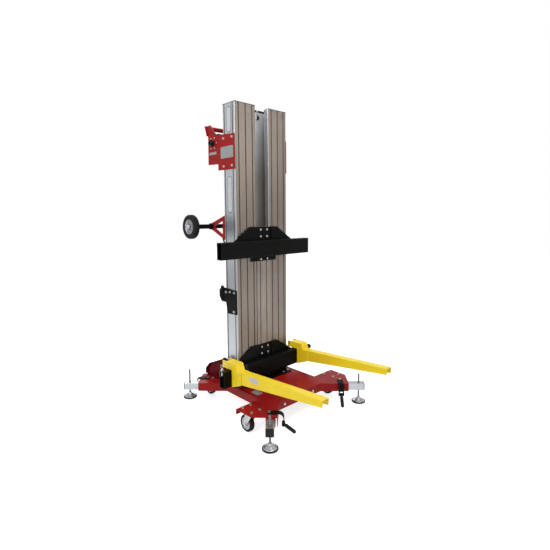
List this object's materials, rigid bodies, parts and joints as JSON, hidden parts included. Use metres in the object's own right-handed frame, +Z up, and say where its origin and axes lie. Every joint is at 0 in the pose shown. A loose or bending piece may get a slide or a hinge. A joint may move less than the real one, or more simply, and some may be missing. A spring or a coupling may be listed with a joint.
{
  "type": "material hoist",
  "caption": "Wheeled material hoist: a telescopic aluminium mast lifts a two-beam carriage with yellow forks, on a red base with castors and pull-out stabilisers.",
  "frame": {"origin": "on the floor under the middle of the mast's front face", "axes": "+Z up, +X to the right, forks point to -Y; castors stand on z = 0"},
  "size_m": [0.892, 1.1505, 1.94],
  "materials": {
    "red_paint": "semi-gloss powder coat",
    "black_paint": "satin powder coat",
    "yellow_paint": "semi-gloss powder coat",
    "mast_aluminium": "natural anodised extrusion",
    "tube_aluminium": "mill finish extrusion",
    "zinc_steel": "bright zinc plate",
    "black_plastic": "matt moulded nylon",
    "tyre_rubber": "matt rubber"
  },
  "bodies": {
    "frame": {"base_deck": "red_paint", "cheek_left": "red_paint", "cheek_right": "red_paint", "mast_foot_bar": "black_paint", "castor_plates": "zinc_steel", "lock_brackets": "black_paint", "frame_bolts": "zinc_steel", "mast_column_left": "mast_aluminium", "mast_column_right": "mast_aluminium", "mast_ties": "mast_aluminium", "winch_plate_left": "red_paint", "winch_plate_right": "red_paint", "push_bar": "red_paint", "winch_gearbox": "black_paint", "axle_brackets": "red_paint", "axle_tube": "black_paint", "latch_bracket": "black_paint"},
    "middle": {"middle_section": "mast_aluminium", "middle_guides": "black_plastic"},
    "inner": {"inner_section": "mast_aluminium", "inner_guides": "black_plastic"},
    "carriage": {"carriage_spine": "mast_aluminium", "upper_beam": "black_paint", "lower_beam": "black_paint", "carriage_bolts": "zinc_steel"},
    "winch_drum": {"winch_drum": "zinc_steel"},
    "winch_socket": {"winch_socket": "black_paint"},
    "mast_sheave": {"mast_sheave": "black_plastic"},
    "middle_sheave": {"middle_sheave": "black_plastic"},
    "inner_sheave": {"inner_sheave": "black_plastic"},
    "transport_wheel_left": {"transport_wheel_left": "tyre_rubber"},
    "transport_wheel_right": {"transport_wheel_right": "tyre_rubber"},
    "latch_plunger": {"latch_plunger": "zinc_steel"},
    "castor_fork_front_left": {"castor_fork_front_left": "zinc_steel"},
    "castor_wheel_front_left": {"castor_wheel_front_left": "tyre_rubber"},
    "stabiliser_front_left": {"stabiliser_front_left": "tube_aluminium"},
    "jack_front_left": {"jack_front_left": "zinc_steel"},
    "lock_lever_front_left": {"lock_lever_front_left": "black_plastic"},
    "castor_fork_front_right": {"castor_fork_front_right": "zinc_steel"},
    "castor_wheel_front_right": {"castor_wheel_front_right": "tyre_rubber"},
    "stabiliser_front_right": {"stabiliser_front_right": "tube_aluminium"},
    "jack_front_right": {"jack_front_right": "zinc_steel"},
    "lock_lever_front_right": {"lock_lever_front_right": "black_plastic"},
    "castor_fork_rear_left": {"castor_fork_rear_left": "zinc_steel"},
    "castor_wheel_rear_left": {"castor_wheel_rear_left": "tyre_rubber"},
    "stabiliser_rear_left": {"stabiliser_rear_left": "tube_aluminium"},
    "jack_rear_left": {"jack_rear_left": "zinc_steel"},
    "lock_lever_rear_left": {"lock_lever_rear_left": "black_plastic"},
    "castor_fork_rear_right": {"castor_fork_rear_right": "zinc_steel"},
    "castor_wheel_rear_right": {"castor_wheel_rear_right": "tyre_rubber"},
    "stabiliser_rear_right": {"stabiliser_rear_right": "tube_aluminium"},
    "jack_rear_right": {"jack_rear_right": "zinc_steel"},
    "lock_lever_rear_right": {"lock_lever_rear_right": "black_plastic"},
    "fork_left": {"fork_left": "yellow_paint", "fork_rod_left": "zinc_steel"},
    "fork_knob_left": {"fork_knob_left": "black_plastic"},
    "fork_right": {"fork_right": "yellow_paint", "fork_rod_right": "zinc_steel"},
    "fork_knob_right": {"fork_knob_right": "black_plastic"},
    "beam_pin": {"beam_pin": "zinc_steel"}
  },
  "joints": [
    {"name": "middle_lift", "type": "slide", "parent": "frame", "child": "middle", "axis": [0, 0, 1], "range_m": [0, 1.35]},
    {"name": "inner_lift", "type": "slide", "parent": "middle", "child": "inner", "axis": [0, 0, 1], "range_m": [0, 1.35]},
    {"name": "carriage_lift", "type": "slide", "parent": "inner", "child": "carriage", "axis": [0, 0, 1], "range_m": [0, 1.35]},
    {"name": "winch_drum_turn", "type": "hinge", "parent": "frame", "child": "winch_drum", "pos_m": [0, 0.229, 1.714], "axis": [1, 0, 0], "range_deg": [0, 1720]},
    {"name": "winch_socket_turn", "type": "hinge", "parent": "frame", "child": "winch_socket", "pos_m": [-0.235, 0.229, 1.714], "axis": [1, 0, 0], "range_deg": [0, 6877]},
    {"name": "mast_sheave_turn", "type": "hinge", "parent": "frame", "child": "mast_sheave", "pos_m": [0, 0.142, 1.892], "axis": [1, 0, 0], "range_deg": [0, 3684]},
    {"name": "middle_sheave_turn", "type": "hinge", "parent": "middle", "child": "middle_sheave", "pos_m": [-0.03, 0.106, 1.888], "axis": [1, 0, 0], "range_deg": [0, 7033]},
    {"name": "inner_sheave_turn", "type": "hinge", "parent": "inner", "child": "inner_sheave", "pos_m": [0.03, 0.077, 1.888], "axis": [1, 0, 0], "range_deg": [0, 9670]},
    {"name": "transport_wheel_left_spin", "type": "hinge", "parent": "frame", "child": "transport_wheel_left", "pos_m": [-0.38, 0.268, 1.176], "axis": [1, 0, 0], "continuous": true},
    {"name": "transport_wheel_right_spin", "type": "hinge", "parent": "frame", "child": "transport_wheel_right", "pos_m": [0.38, 0.268, 1.176], "axis": [1, 0, 0], "continuous": true},
    {"name": "latch_plunger_pull", "type": "slide", "parent": "frame", "child": "latch_plunger", "axis": [0, 0, 1], "range_m": [0, 0.012], "stiffness_N_per_m": 500, "springref_m": -0.01},
    {"name": "castor_front_left_swivel", "type": "hinge", "parent": "frame", "child": "castor_fork_front_left", "pos_m": [-0.362, -0.292, 0.13], "axis": [0, 0, 1], "continuous": true},
    {"name": "castor_front_left_spin", "type": "hinge", "parent": "castor_fork_front_left", "child": "castor_wheel_front_left", "pos_m": [-0.362, -0.256, 0.05], "axis": [1, 0, 0], "continuous": true},
    {"name": "stabiliser_front_left_slide", "type": "slide", "parent": "frame", "child": "stabiliser_front_left", "axis": [-0.7071, -0.7071, 0], "range_m": [-0.05, 0.15]},
    {"name": "jack_front_left_screw", "type": "slide", "parent": "stabiliser_front_left", "child": "jack_front_left", "axis": [0, 0, 1], "range_m": [-0.03, 0.05]},
    {"name": "lock_front_left_swing", "type": "hinge", "parent": "frame", "child": "lock_lever_front_left", "pos_m": [-0.2641, -0.45395, 0.084], "axis": [-0.7071, -0.7071, 0], "range_deg": [0, 60]},
    {"name": "castor_front_right_swivel", "type": "hinge", "parent": "frame", "child": "castor_fork_front_right", "pos_m": [0.362, -0.292, 0.13], "axis": [0, 0, 1], "continuous": true},
    {"name": "castor_front_right_spin", "type": "hinge", "parent": "castor_fork_front_right", "child": "castor_wheel_front_right", "pos_m": [0.362, -0.256, 0.05], "axis": [1, 0, 0], "continuous": true},
    {"name": "stabiliser_front_right_slide", "type": "slide", "parent": "frame", "child": "stabiliser_front_right", "axis": [0.7071, -0.7071, 0], "range_m": [-0.05, 0.15]},
    {"name": "jack_front_right_screw", "type": "slide", "parent": "stabiliser_front_right", "child": "jack_front_right", "axis": [0, 0, 1], "range_m": [-0.03, 0.05]},
    {"name": "lock_front_right_swing", "type": "hinge", "parent": "frame", "child": "lock_lever_front_right", "pos_m": [0.2641, -0.45395, 0.084], "axis": [-0.7071, 0.7071, 0], "range_deg": [0, 60]},
    {"name": "castor_rear_left_swivel", "type": "hinge", "parent": "frame", "child": "castor_fork_rear_left", "pos_m": [-0.228, 0.276, 0.13], "axis": [0, 0, 1], "continuous": true},
    {"name": "castor_rear_left_spin", "type": "hinge", "parent": "castor_fork_rear_left", "child": "castor_wheel_rear_left", "pos_m": [-0.228, 0.312, 0.05], "axis": [1, 0, 0], "continuous": true},
    {"name": "stabiliser_rear_left_slide", "type": "slide", "parent": "frame", "child": "stabiliser_rear_left", "axis": [-0.7071, 0.7071, 0], "range_m": [-0.05, 0.15]},
    {"name": "jack_rear_left_screw", "type": "slide", "parent": "stabiliser_rear_left", "child": "jack_rear_left", "axis": [0, 0, 1], "range_m": [-0.06, 0.02]},
    {"name": "lock_rear_left_swing", "type": "hinge", "parent": "frame", "child": "lock_lever_rear_left", "pos_m": [-0.34514, 0.30554, 0.084], "axis": [0.7071, 0.7071, 0], "range_deg": [-15, 22]},
    {"name": "castor_rear_right_swivel", "type": "hinge", "parent": "frame", "child": "castor_fork_rear_right", "pos_m": [0.228, 0.276, 0.13], "axis": [0, 0, 1], "continuous": true},
    {"name": "castor_rear_right_spin", "type": "hinge", "parent": "castor_fork_rear_right", "child": "castor_wheel_rear_right", "pos_m": [0.228, 0.312, 0.05], "axis": [1, 0, 0], "continuous": true},
    {"name": "stabiliser_rear_right_slide", "type": "slide", "parent": "frame", "child": "stabiliser_rear_right", "axis": [0.7071, 0.7071, 0], "range_m": [-0.05, 0.15]},
    {"name": "jack_rear_right_screw", "type": "slide", "parent": "stabiliser_rear_right", "child": "jack_rear_right", "axis": [0, 0, 1], "range_m": [-0.03, 0.05]},
    {"name": "lock_rear_right_swing", "type": "hinge", "parent": "frame", "child": "lock_lever_rear_right", "pos_m": [0.34514, 0.30554, 0.084], "axis": [0.7071, -0.7071, 0], "range_deg": [-15, 22]},
    {"name": "fork_left_slide", "type": "slide", "parent": "carriage", "child": "fork_left", "axis": [-1, 0, 0], "range_m": [-0.008, 0.035]},
    {"name": "fork_knob_left_turn", "type": "hinge", "parent": "fork_left", "child": "fork_knob_left", "pos_m": [-0.261, -0.102, 0.308], "axis": [1, 0, 0], "range_deg": [0, 720]},
    {"name": "fork_right_slide", "type": "slide", "parent": "carriage", "child": "fork_right", "axis": [1, 0, 0], "range_m": [-0.008, 0.035]},
    {"name": "fork_knob_right_turn", "type": "hinge", "parent": "fork_right", "child": "fork_knob_right", "pos_m": [0.323, -0.102, 0.308], "axis": [1, 0, 0], "range_deg": [0, 720]},
    {"name": "beam_pin_pull", "type": "slide", "parent": "carriage", "child": "beam_pin", "axis": [0, 0, 1], "range_m": [0, 0.04]}
  ],
  "couplings": [
    {"joint": "inner_lift", "follows": "middle_lift", "ratio": 1},
    {"joint": "carriage_lift", "follows": "middle_lift", "ratio": 1},
    {"joint": "winch_drum_turn", "follows": "middle_lift", "rad_per_m": 22.222},
    {"joint": "winch_socket_turn", "follows": "middle_lift", "rad_per_m": 88.889},
    {"joint": "mast_sheave_turn", "follows": "middle_lift", "rad_per_m": 47.619},
    {"joint": "middle_sheave_turn", "follows": "middle_lift", "rad_per_m": 90.909},
    {"joint": "inner_sheave_turn", "follows": "middle_lift", "rad_per_m": 125}
  ]
}
